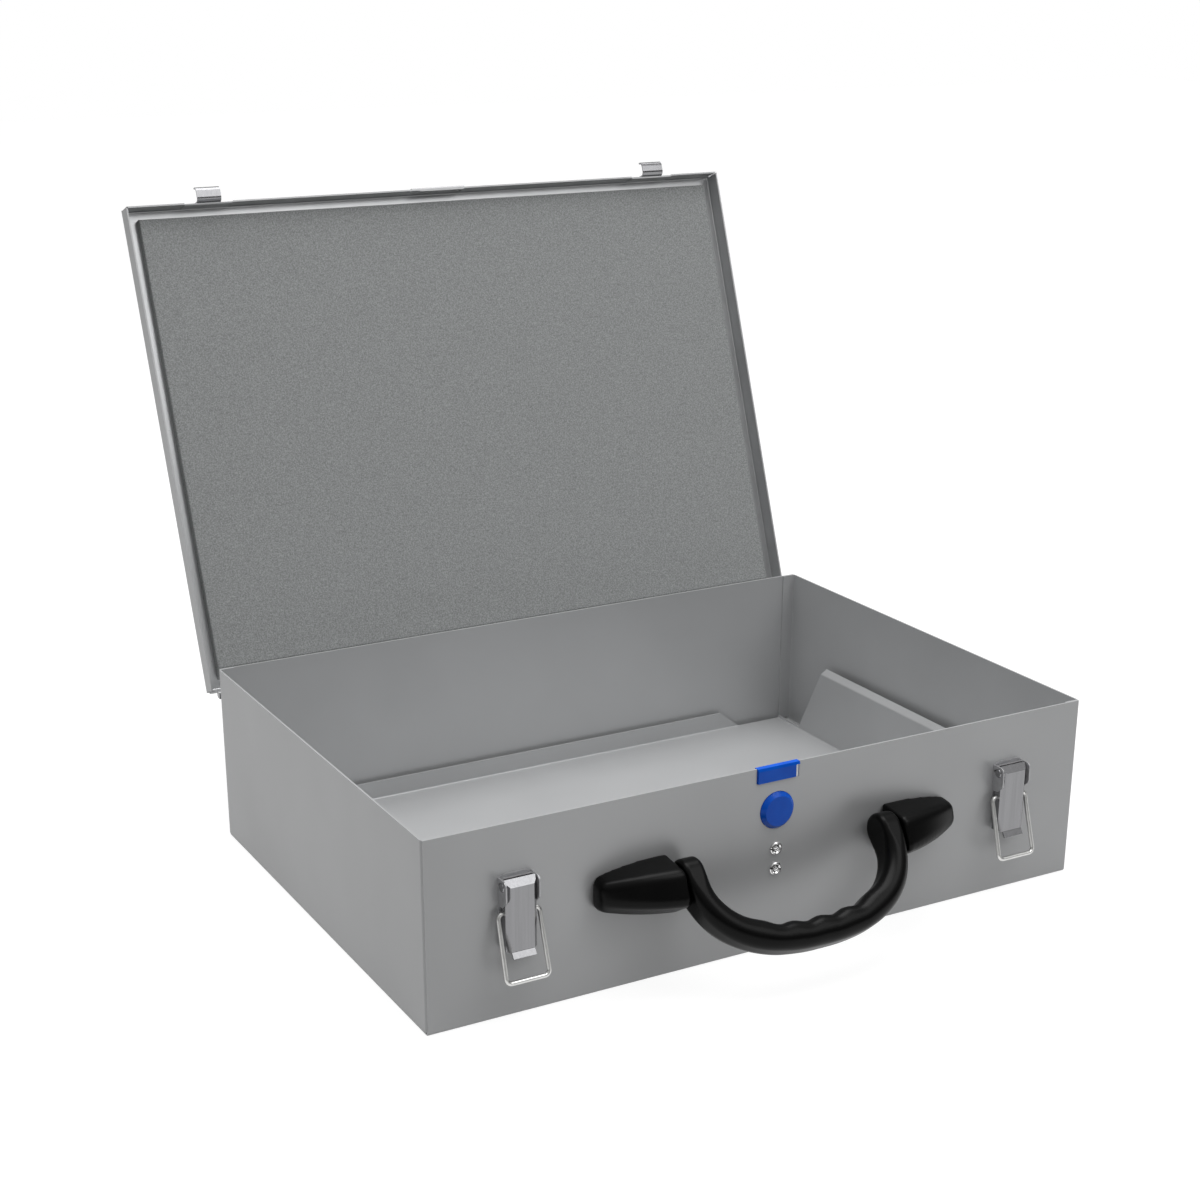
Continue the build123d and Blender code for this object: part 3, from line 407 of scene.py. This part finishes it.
class Profile:
    """Geometry Nodes tree that turns a profile about Z and sets one copy at each point of its mesh."""

    # How far inside its row the grid's number lies, so that rounding down can't miss it
    ROW_MARGIN = 0.25

    def __init__(self, name, sizes):
        self.tree = bpy.data.node_groups.new(name, "GeometryNodeTree")
        self.add_socket("Geometry", "Geometry", "OUTPUT")
        self.places = self.add_socket("Places", "Geometry")
        self.finish = self.add_socket("Finish", "Material")
        self.turn = self.add_socket("Turn", "Float")
        self.turn.default_value = radians(90)
        self.sizes = {}
        for label, millimetres in sizes.items():
            socket = self.add_socket(label, "Float")
            socket.subtype = "DISTANCE"
            socket.default_value = millimetres * MM
            self.sizes[label] = socket
        self.entry = add_node(self.tree, "NodeGroupInput")

    def add_socket(self, name, kind, in_out="INPUT"):
        """Add a socket to the tree's interface."""
        interface = self.tree.interface
        return interface.new_socket(name=name, in_out=in_out, socket_type=f"NodeSocket{kind}")

    def value(self, terms):
        """Sum of named sizes, each times its share."""
        total = None
        for label, share in terms:
            links = {0: self.entry.outputs[label]}
            step = add_node(self.tree, "ShaderNodeMath", links, operation="MULTIPLY_ADD")
            step.inputs[1].default_value = share
            step.inputs[2].default_value = 0.0
            if total is not None:
                self.tree.links.new(total, step.inputs[2])
            total = step.outputs[0]
        return total

    def lathe(self, corners, segments):
        """Closed body turned from corners, each a radius and a height given as terms."""
        tree = self.tree
        grid = add_node(tree, "GeometryNodeMeshGrid", Size_X=1.0, Size_Y=1.0)
        grid.inputs["Vertices X"].default_value = segments + 1
        grid.inputs["Vertices Y"].default_value = len(corners)
        place = add_node(tree, "GeometryNodeInputPosition")
        split = add_node(tree, "ShaderNodeSeparateXYZ", {0: place.outputs[0]})
        row = add_node(tree, "ShaderNodeMapRange", {"Value": split.outputs["Y"]}, clamp=False)
        row.inputs["From Min"].default_value = -0.5
        row.inputs["From Max"].default_value = 0.5
        row.inputs["To Min"].default_value = self.ROW_MARGIN
        row.inputs["To Max"].default_value = len(corners) - 1 + self.ROW_MARGIN
        links = {0: row.outputs["Result"]}
        number = add_node(tree, "FunctionNodeFloatToInt", links, rounding_mode="FLOOR")
        links = {"Index": number.outputs[0]}
        pick = add_node(tree, "GeometryNodeIndexSwitch", links, data_type="VECTOR")
        while len(pick.index_switch_items) < len(corners):
            pick.index_switch_items.new()
        for index, (radius, height) in enumerate(corners):
            corner = add_node(tree, "ShaderNodeCombineXYZ")
            if radius:
                tree.links.new(self.value(radius), corner.inputs["X"])
            tree.links.new(self.value(height), corner.inputs["Z"])
            tree.links.new(corner.outputs[0], pick.inputs[str(index)])
        angle = add_node(tree, "ShaderNodeMath", {0: split.outputs["X"]}, operation="MULTIPLY")
        angle.inputs[1].default_value = 2 * pi
        links = {"Vector": pick.outputs[0], "Angle": angle.outputs[0]}
        turned = add_node(tree, "ShaderNodeVectorRotate", links, rotation_type="Z_AXIS")
        links = {"Geometry": grid.outputs["Mesh"], "Position": turned.outputs[0]}
        bent = add_node(tree, "GeometryNodeSetPosition", links)
        links = {"Geometry": bent.outputs[0]}
        closed = add_node(tree, "GeometryNodeMergeByDistance", links, Distance=SEAM)
        return closed.outputs[0]

    def cross_cut(self, body):
        """Cut a cross recess into the top of the body."""
        tree = self.tree
        join = add_node(tree, "GeometryNodeJoinGeometry")
        for wide, narrow in (("X", "Y"), ("Y", "X")):
            links = {
                wide: self.value([("Recess Length", 1)]),
                narrow: self.value([("Recess Width", 1)]),
                "Z": self.value([("Recess Depth", 2)]),
            }
            size = add_node(tree, "ShaderNodeCombineXYZ", links)
            block = add_node(tree, "GeometryNodeMeshCube", {"Size": size.outputs[0]})
            tree.links.new(block.outputs["Mesh"], join.inputs[0])
        lift = add_node(tree, "ShaderNodeCombineXYZ", {"Z": self.value([("Head Height", 1)])})
        links = {"Geometry": join.outputs[0], "Translation": lift.outputs[0]}
        raised = add_node(tree, "GeometryNodeTransform", links)
        links = {"Mesh 1": body, "Mesh 2": raised.outputs[0]}
        cut = add_node(tree, "GeometryNodeMeshBoolean", links, operation="DIFFERENCE", solver="EXACT")
        cut.inputs["Self Intersection"].default_value = True
        return cut.outputs["Mesh"]

    def close(self, body):
        """Set the body at each place, and end the tree in realized instances with their material."""
        tree = self.tree
        lean = add_node(tree, "ShaderNodeCombineXYZ", {"X": self.entry.outputs["Turn"]})
        copies = add_node(
            tree,
            "GeometryNodeInstanceOnPoints",
            {"Points": self.entry.outputs["Places"], "Instance": body, "Rotation": lean.outputs[0]},
        )
        real = add_node(tree, "GeometryNodeRealizeInstances", {"Geometry": copies.outputs[0]})
        dressed = add_node(
            tree,
            "GeometryNodeSetMaterial",
            {"Geometry": real.outputs[0], "Material": self.entry.outputs["Finish"]},
        )
        add_node(tree, "NodeGroupOutput", {"Geometry": dressed.outputs[0]})

    def make(self, name, places, material, outward, **sizes):
        """Plain mesh object of the fasteners at places in millimetres, heads outward or inward."""
        mesh = bpy.data.meshes.new(name)
        mesh.from_pydata([Vector(place) * MM for place in places], [], [])
        maker = new_object(name + "_maker", mesh)
        modifier = maker.modifiers.new("fasteners", "NODES")
        modifier.node_group = self.tree
        modifier[self.finish.identifier] = material
        modifier[self.turn.identifier] = radians(90 if outward else -90)
        for label, millimetres in sizes.items():
            modifier[self.sizes[label.replace("_", " ")].identifier] = millimetres * MM
        plain = plain_mesh(maker)
        tidy_mesh(plain)
        return new_object(name, plain)


def tidy_mesh(mesh):
    """Merge the mesh's doubles, turn its faces outward and shade it smooth between sharp edges."""
    body = bmesh.new()
    body.from_mesh(mesh)
    bmesh.ops.remove_doubles(body, verts=body.verts, dist=DOUBLE)
    bmesh.ops.recalc_face_normals(body, faces=body.faces)
    for face in body.faces:
        face.smooth = True
    for edge in body.edges:
        if len(edge.link_faces) == 2 and edge.calc_face_angle() > radians(SMOOTH_ANGLE):
            edge.smooth = False
    body.to_mesh(mesh)
    body.free()


def cut_cells(body):
    """Cut a body into triangles no wider than the foam's cells."""
    for axis in (0, 1, 2):
        normal = Vector([1.0 if axis == number else 0.0 for number in range(3)])
        along = [vert.co[axis] for vert in body.verts]
        place = min(along) + FOAM_CUT
        while place < max(along):
            bmesh.ops.bisect_plane(
                body,
                geom=body.verts[:] + body.edges[:] + body.faces[:],
                dist=PLANE_FIT,
                plane_co=normal * place,
                plane_no=normal,
            )
            place += FOAM_CUT
    bmesh.ops.remove_doubles(body, verts=body.verts, dist=SLIVER)
    bmesh.ops.triangulate(body, faces=body.faces)


def soften(mesh, sag):
    """Draw the foam in, and let its surface rise and sink a little as soft foam does."""
    body = bmesh.new()
    body.from_mesh(mesh)
    cut_cells(body)
    half_width = max(vert.co.x for vert in body.verts)
    depths = [vert.co.dot(FOAM_OUTWARD) for vert in body.verts]
    back, face = min(depths), max(depths)
    for vert in body.verts:
        vert.co.x *= 1 - FOAM_SIDE_DRAW / half_width
        vert.co -= FOAM_OUTWARD * FOAM_FACE_DRAW * (vert.co.dot(FOAM_OUTWARD) - back) / (face - back)
    body.normal_update()
    for vert in body.verts:
        wave = noise.noise(vert.co / FOAM_WAVE, noise_basis="PERLIN_ORIGINAL")
        vert.co -= vert.normal * sag * (0.5 + 0.5 * wave)
    body.to_mesh(mesh)
    body.free()


def hood_stations(latch):
    """Places across a hood: they crowd where its two ends round off."""
    half = latch.hood_width / 2
    turns = [radians(90 * step / SHOULDER_STEPS) for step in range(SHOULDER_STEPS + 1)]
    stations = [half - latch.hood_shoulder * (1 - cos(turn)) for turn in turns]
    return sorted([-x for x in stations] + stations)


def hood_section(latch, x):
    """Section of a hood at one place across it: along its outer face and back along its inner."""
    past = max(0.0, abs(x) - (latch.hood_width / 2 - latch.hood_shoulder))
    drop = latch.hood_shoulder - sqrt(max(0.0, latch.hood_shoulder**2 - past**2))
    bend = HOOD_START - HOOD_END
    turns = [radians(HOOD_START - bend * step / HOOD_STEPS) for step in range(HOOD_STEPS + 1)]
    outer = [(latch.hood_radius, turn) for turn in turns]
    inner = [(latch.hood_radius - latch.hood_sheet, turn) for turn in reversed(turns)]
    return [
        Vector((x, -radius * cos(turn), max(0.0, radius * sin(turn) - drop)))
        for radius, turn in outer + inner
    ]


def hood_mesh(name, latch, pin):
    """Hood of one bracket, bent round the place of the lever's pin."""
    body = bmesh.new()
    rings = [
        [body.verts.new(pin + corner) for corner in hood_section(latch, x)]
        for x in hood_stations(latch)
    ]
    for ring, after in zip(rings, rings[1:]):
        for number in range(len(ring)):
            follow = (number + 1) % len(ring)
            body.faces.new((ring[number], ring[follow], after[follow], after[number]))
    body.faces.new(rings[0])
    body.faces.new(rings[-1])
    mesh = bpy.data.meshes.new(name)
    body.to_mesh(mesh)
    body.free()
    tidy_mesh(mesh)
    return mesh


def white_paper():
    """Paper of the floor: white to the camera, in mirrors and in glass, grey to other light."""
    material, tree, shader = new_material(
        "white_paper",
        Base_Color=linear("808080"),
        Roughness=0.9,
        Specular_IOR_Level=0.0,
        Emission_Color=linear("FFFFFF"),
    )
    rays = add_node(tree, "ShaderNodeLightPath")
    seen = rays.outputs["Is Camera Ray"]
    for kind in ("Is Transmission Ray", "Is Glossy Ray"):
        either = add_node(tree, "ShaderNodeMath", {0: seen, 1: rays.outputs[kind]}, operation="MAXIMUM")
        seen = either.outputs[0]
    glow = add_node(tree, "ShaderNodeMath", {0: seen}, operation="MULTIPLY")
    glow.inputs[1].default_value = FLOOR_GLOW
    tree.links.new(glow.outputs[0], shader.inputs["Emission Strength"])
    return material


def set_sky(stage):
    """White backdrop, and an even light that grows toward the top of the sky."""
    world = bpy.data.worlds.new("studio")
    bpy.context.scene.world = world
    world.use_nodes = True
    tree = world.node_tree
    tree.nodes.clear()
    rays = add_node(tree, "ShaderNodeLightPath")
    place = add_node(tree, "ShaderNodeTexCoord")
    split = add_node(tree, "ShaderNodeSeparateXYZ", {0: place.outputs["Generated"]})
    height = add_node(
        tree,
        "ShaderNodeMapRange",
        {"Value": split.outputs["Z"]},
        To_Min=stage.sky_side,
        To_Max=stage.sky_top,
    )
    links = {"Factor": rays.outputs["Is Camera Ray"], "A": height.outputs["Result"]}
    strength = add_node(tree, "ShaderNodeMix", links)
    strength.inputs["B"].default_value = 1.0
    links = {"Strength": strength.outputs["Result"]}
    sky = add_node(tree, "ShaderNodeBackground", links, Color=linear("FFFFFF"))
    add_node(tree, "ShaderNodeOutputWorld", {"Surface": sky.outputs["Background"]})


def add_light(name, place, size, power):
    """Square soft light that looks at the case."""
    lamp = bpy.data.lights.new(name, "AREA")
    lamp.shape = "SQUARE"
    lamp.size = size
    lamp.energy = power
    light = new_object(name, lamp)
    light.location = place
    light.rotation_euler = (LIGHT_AIM - light.location).to_track_quat("-Z", "Y").to_euler()


def set_camera():
    """Camera of the photograph."""
    lens = bpy.data.cameras.new("camera")
    lens.lens = CAMERA_LENS
    lens.sensor_width = CAMERA_SENSOR
    lens.sensor_fit = "HORIZONTAL"
    lens.shift_x = (PHOTO_WIDTH / 2 - PHOTO_CENTRE[0]) / PHOTO_WIDTH
    lens.shift_y = (PHOTO_CENTRE[1] - PHOTO_WIDTH / 2) / PHOTO_WIDTH
    camera = new_object("camera", lens)
    camera.location = CAMERA_PLACE
    turn = (radians(90 - CAMERA_ELEVATION), radians(CAMERA_ROLL), radians(CAMERA_AZIMUTH))
    camera.rotation_euler = Euler(turn)
    bpy.context.scene.camera = camera


class CaseFinish(bpy.types.PropertyGroup):
    """Colours and grain of the case's finishes."""

    steel_colour: FloatVectorProperty(
        name="Steel colour",
        description="Colour of the powder coat",
        subtype="COLOR",
        size=3,
        default=linear("B4B5B6")[:3],
        min=0.0,
        max=1.0,
    )
    foam_colour: FloatVectorProperty(
        name="Foam colour",
        description="Middle colour of the foam pad",
        subtype="COLOR",
        size=3,
        default=linear("929494")[:3],
        min=0.0,
        max=1.0,
    )
    peel_size: FloatProperty(
        name="Orange peel",
        description="Width of the ripples in the powder coat",
        unit="LENGTH",
        default=1.2 * MM,
        min=0.2 * MM,
    )
    foam_cell: FloatProperty(
        name="Foam speckle",
        description="Width of the speckles in the foam",
        unit="LENGTH",
        default=0.9 * MM,
        min=0.2 * MM,
    )
    foam_sag: FloatProperty(
        name="Foam unevenness",
        description="How far the foam's face sinks at most",
        unit="LENGTH",
        default=0.3 * MM,
        min=0.0,
    )


class CaseFasteners(bpy.types.PropertyGroup):
    """Sizes of the rivets and screws."""

    segments: IntProperty(
        name="Segments",
        description="Facets round a rivet or screw",
        default=40,
        min=12,
    )
    recess_width: FloatProperty(
        name="Recess width",
        description="Width of the slots of the cross recess in the screw heads",
        unit="LENGTH",
        default=0.9 * MM,
        min=0.2 * MM,
    )


class CaseLatch(bpy.types.PropertyGroup):
    """Sizes of the hoods over the latch levers."""

    hood_width: FloatProperty(
        name="Hood width",
        description="Width of the hood across the bracket",
        unit="LENGTH",
        default=20.8 * MM,
        min=5 * MM,
    )
    hood_radius: FloatProperty(
        name="Hood radius",
        description="Outer radius of the hood round the lever's pin",
        unit="LENGTH",
        default=5.0 * MM,
        min=2 * MM,
    )
    hood_sheet: FloatProperty(
        name="Hood sheet",
        description="Thickness of the hood's sheet",
        unit="LENGTH",
        default=0.75 * MM,
        min=0.2 * MM,
    )
    hood_shoulder: FloatProperty(
        name="Hood shoulder",
        description="Rounding of the hood's two ends",
        unit="LENGTH",
        default=2.6 * MM,
        min=0.5 * MM,
    )


class CaseStage(bpy.types.PropertyGroup):
    """Light of the stage."""

    key_power: FloatProperty(
        name="Key light",
        description="Power of the large soft light above",
        unit="POWER",
        default=24.0,
        min=0.0,
    )
    sky_top: FloatProperty(
        name="Sky above",
        description="Strength of the even light from above",
        default=0.87,
        min=0.0,
    )
    sky_side: FloatProperty(
        name="Sky round",
        description="Strength of the even light from the sides",
        default=0.0,
        min=0.0,
    )


class CASE_OT_finish_metal(bpy.types.Operator):
    """Give the sheet steel, zinc and wire nodes their finishes"""

    bl_idname = "case.finish_metal"
    bl_label = "Finish Metal"

    def execute(self, context):
        finish = context.scene.case_finish
        give(STEEL_NODES, powder_coated_steel(finish))
        # The lid's inner faces get a lighter copy of the steel as painted highlight.
        give_inside("lid_shell", inner_steel_painted_highlight(finish))
        give(BRACKET_NODES, satin_zinc())
        give(ZINC_NODES, zinc_plated_steel())
        give(WIRE_NODES, zinc_plated_wire())
        return {"FINISHED"}


class CASE_OT_finish_plastic(bpy.types.Operator):
    """Give the handle, button and tongue their moulded plastics"""

    bl_idname = "case.finish_plastic"
    bl_label = "Finish Plastic"

    def execute(self, context):
        give(BLACK_NODES, moulded_black_nylon())
        give(BLUE_NODES, moulded_blue_abs())
        return {"FINISHED"}


class CASE_OT_build_rivets(bpy.types.Operator):
    """Set the rivets of the lock and of the latch brackets"""

    bl_idname = "case.build_rivets"
    bl_label = "Rivets"

    def execute(self, context):
        rivet = Profile(
            "turned_rivet",
            {
                "Head Radius": 3.9,
                "Head Height": 1.4,
                "Edge": 0.55,
                "Groove Radius": 2.7,
                "Groove Depth": 0.9,
                "Boss Radius": 1.35,
                "Shank Radius": 2.0,
                "Grip": 1.8,
                "Tail Radius": 3.0,
                "Tail Height": 0.8,
            },
        )
        top = [("Head Height", 1)]
        floor = [("Head Height", 1), ("Groove Depth", -1)]
        grip = [("Grip", -1)]
        end = [("Grip", -1), ("Tail Height", -1)]
        corners = (
            ((), top),
            ([("Boss Radius", 0.75)], top),
            ([("Boss Radius", 1)], [("Head Height", 1), ("Groove Depth", -0.25)]),
            ([("Boss Radius", 1.1)], floor),
            ([("Groove Radius", 0.8)], floor),
            ([("Groove Radius", 1)], [("Head Height", 1), ("Groove Depth", -0.35)]),
            ([("Groove Radius", 1), ("Edge", 0.5)], top),
            ([("Head Radius", 1), ("Edge", -1)], top),
            ([("Head Radius", 1)], [("Head Height", 1), ("Edge", -1)]),
            ([("Head Radius", 1)], [("Head Height", 0)]),
            ([("Shank Radius", 1)], [("Head Height", 0)]),
            ([("Shank Radius", 1)], grip),
            ([("Tail Radius", 1)], grip),
            ([("Tail Radius", 0.8)], end),
            ((), end),
        )
        rivet.close(rivet.lathe(corners, context.scene.case_fasteners.segments))
        lock_places = wall_places("lock_rivets", WALL_FRONT)
        lock = rivet.make("turned_lock_rivets", lock_places, polished_steel(), outward=True)
        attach(lock, "case")
        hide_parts("lock_rivets")
        latch = rivet.make(
            "turned_latch_rivets",
            wall_places("latch_rivets", BRACKET_FRONT),
            bpy.data.materials["zinc_plated_steel"],
            outward=True,
            Head_Radius=3.0,
            Head_Height=1.2,
            Groove_Radius=1.9,
            Groove_Depth=0.5,
            Boss_Radius=0.9,
            Grip=1.9,
        )
        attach(latch, "case")
        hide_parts("latch_rivets")
        return {"FINISHED"}


class CASE_OT_build_screws(bpy.types.Operator):
    """Set the screws that hold the handle's boots from inside"""

    bl_idname = "case.build_screws"
    bl_label = "Screws"

    def execute(self, context):
        fasteners = context.scene.case_fasteners
        screw = Profile(
            "turned_screw",
            {
                "Head Radius": 3.4,
                "Head Height": 1.8,
                "Crown": 0.45,
                "Shank Radius": 1.7,
                "Length": 8.4,
                "Recess Length": 3.6,
                "Recess Width": fasteners.recess_width / MM,
                "Recess Depth": 1.1,
            },
        )
        top = [("Head Height", 1)]
        corners = (
            ((), top),
            ([("Head Radius", 0.6)], [("Head Height", 1), ("Crown", -0.2)]),
            ([("Head Radius", 0.85)], [("Head Height", 1), ("Crown", -1)]),
            ([("Head Radius", 1)], [("Head Height", 1), ("Crown", -2.5)]),
            ([("Head Radius", 1)], [("Head Height", 0)]),
            ([("Shank Radius", 1)], [("Head Height", 0)]),
            ([("Shank Radius", 1)], [("Length", -1), ("Shank Radius", 0.6)]),
            ([("Shank Radius", 0.4)], [("Length", -1)]),
            ((), [("Length", -1)]),
        )
        screw.close(screw.cross_cut(screw.lathe(corners, fasteners.segments)))
        places = wall_places("handle_screws", WALL_BACK)
        zinc = bpy.data.materials["zinc_plated_steel"]
        screws = screw.make("boot_screws", places, zinc, outward=False)
        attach(screws, "case")
        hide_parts("handle_screws")
        return {"FINISHED"}


class CASE_OT_bend_hoods(bpy.types.Operator):
    """Bend the hoods of the latch brackets over the levers' ends"""

    bl_idname = "case.bend_hoods"
    bl_label = "Bracket Hoods"

    def execute(self, context):
        for side in ("left", "right"):
            name = f"{side}_bracket_hood"
            pin = Vector(JOINTS[f"{side}_lever_pivot"]["pos_m"])
            mesh = hood_mesh(name, context.scene.case_latch, pin)
            mesh.materials.append(bpy.data.materials["satin_zinc"])
            hood = new_object(name, mesh)
            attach(hood, "case")
        return {"FINISHED"}


class CASE_OT_mould_boots(bpy.types.Operator):
    """Round the handle's boots as their mould does"""

    bl_idname = "case.mould_boots"
    bl_label = "Handle Boots"

    def execute(self, context):
        for side in ("left", "right"):
            node = f"{side}_handle_boot"
            mesh = frame["nodes"][node].data.copy()
            tidy_mesh(mesh)
            maker = new_object(f"{side}_boot_maker", mesh)
            remesh = maker.modifiers.new("skin", "REMESH")
            remesh.mode = "VOXEL"
            remesh.voxel_size = BOOT_VOXEL
            ease = maker.modifiers.new("ease", "SMOOTH")
            ease.factor = BOOT_EASE_FACTOR
            ease.iterations = BOOT_EASE_ROUNDS
            plain = plain_mesh(maker)
            for polygon in plain.polygons:
                polygon.use_smooth = True
            plain.materials.clear()
            plain.materials.append(bpy.data.materials["moulded_black_nylon"])
            boot = new_object(f"{side}_boot_moulding", plain)
            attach(boot, "case")
            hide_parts(node)
        return {"FINISHED"}


class CASE_OT_build_foam(bpy.types.Operator):
    """Lay the foam pad in the lid"""

    bl_idname = "case.build_foam"
    bl_label = "Foam Pad"

    def execute(self, context):
        finish = context.scene.case_finish
        mesh = frame["nodes"]["foam_pad"].data.copy()
        tidy_mesh(mesh)
        soften(mesh, finish.foam_sag)
        mesh.materials.clear()
        mesh.materials.append(polyether_foam(finish))
        pad = new_object("foam_lining", mesh)
        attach(pad, "lid")
        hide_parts("foam_pad")
        return {"FINISHED"}


class CASE_OT_set_stage(bpy.types.Operator):
    """Set up the floor, backdrop, light and camera"""

    bl_idname = "case.set_stage"
    bl_label = "Stage"

    def execute(self, context):
        stage = context.scene.case_stage
        bpy.ops.mesh.primitive_plane_add(size=FLOOR_SIZE)
        floor = context.active_object
        floor.name = "floor"
        floor.data.materials.append(white_paper())
        set_sky(stage)
        add_light("key_light", KEY_PLACE, KEY_SIZE, stage.key_power)
        add_light("side_light", SIDE_PLACE, SIDE_SIZE, stage.key_power * SIDE_SHARE)
        set_camera()
        context.scene.view_settings.view_transform = "Standard"
        return {"FINISHED"}


class CASE_PT_panel(bpy.types.Panel):
    """Buttons for the case's pieces and its stage"""

    bl_idname = "CASE_PT_panel"
    bl_label = "Organizer Case"
    bl_space_type = "VIEW_3D"
    bl_region_type = "UI"
    bl_category = "Case"

    def draw(self, context):
        layout = self.layout
        scene = context.scene
        for group in (scene.case_finish, scene.case_fasteners, scene.case_latch, scene.case_stage):
            for name in group.__annotations__:
                layout.prop(group, name)
        for operator in OPERATORS:
            layout.operator(operator.bl_idname)


OPERATORS = (
    CASE_OT_finish_metal,
    CASE_OT_finish_plastic,
    CASE_OT_build_rivets,
    CASE_OT_build_screws,
    CASE_OT_bend_hoods,
    CASE_OT_mould_boots,
    CASE_OT_build_foam,
    CASE_OT_set_stage,
)
CLASSES = (CaseFinish, CaseFasteners, CaseLatch, CaseStage, *OPERATORS, CASE_PT_panel)


def register():
    for cls in CLASSES:
        bpy.utils.register_class(cls)
    bpy.types.Scene.case_finish = PointerProperty(type=CaseFinish)
    bpy.types.Scene.case_fasteners = PointerProperty(type=CaseFasteners)
    bpy.types.Scene.case_latch = PointerProperty(type=CaseLatch)
    bpy.types.Scene.case_stage = PointerProperty(type=CaseStage)


def unregister():
    del bpy.types.Scene.case_stage
    del bpy.types.Scene.case_latch
    del bpy.types.Scene.case_fasteners
    del bpy.types.Scene.case_finish
    for cls in reversed(CLASSES):
        bpy.utils.unregister_class(cls)


def main():
    register()
    bpy.ops.case.finish_metal()
    bpy.ops.case.finish_plastic()
    bpy.ops.case.build_rivets()
    bpy.ops.case.build_screws()
    bpy.ops.case.bend_hoods()
    bpy.ops.case.mould_boots()
    bpy.ops.case.build_foam()
    bpy.ops.case.set_stage()


if __name__ == "__main__":
    main()
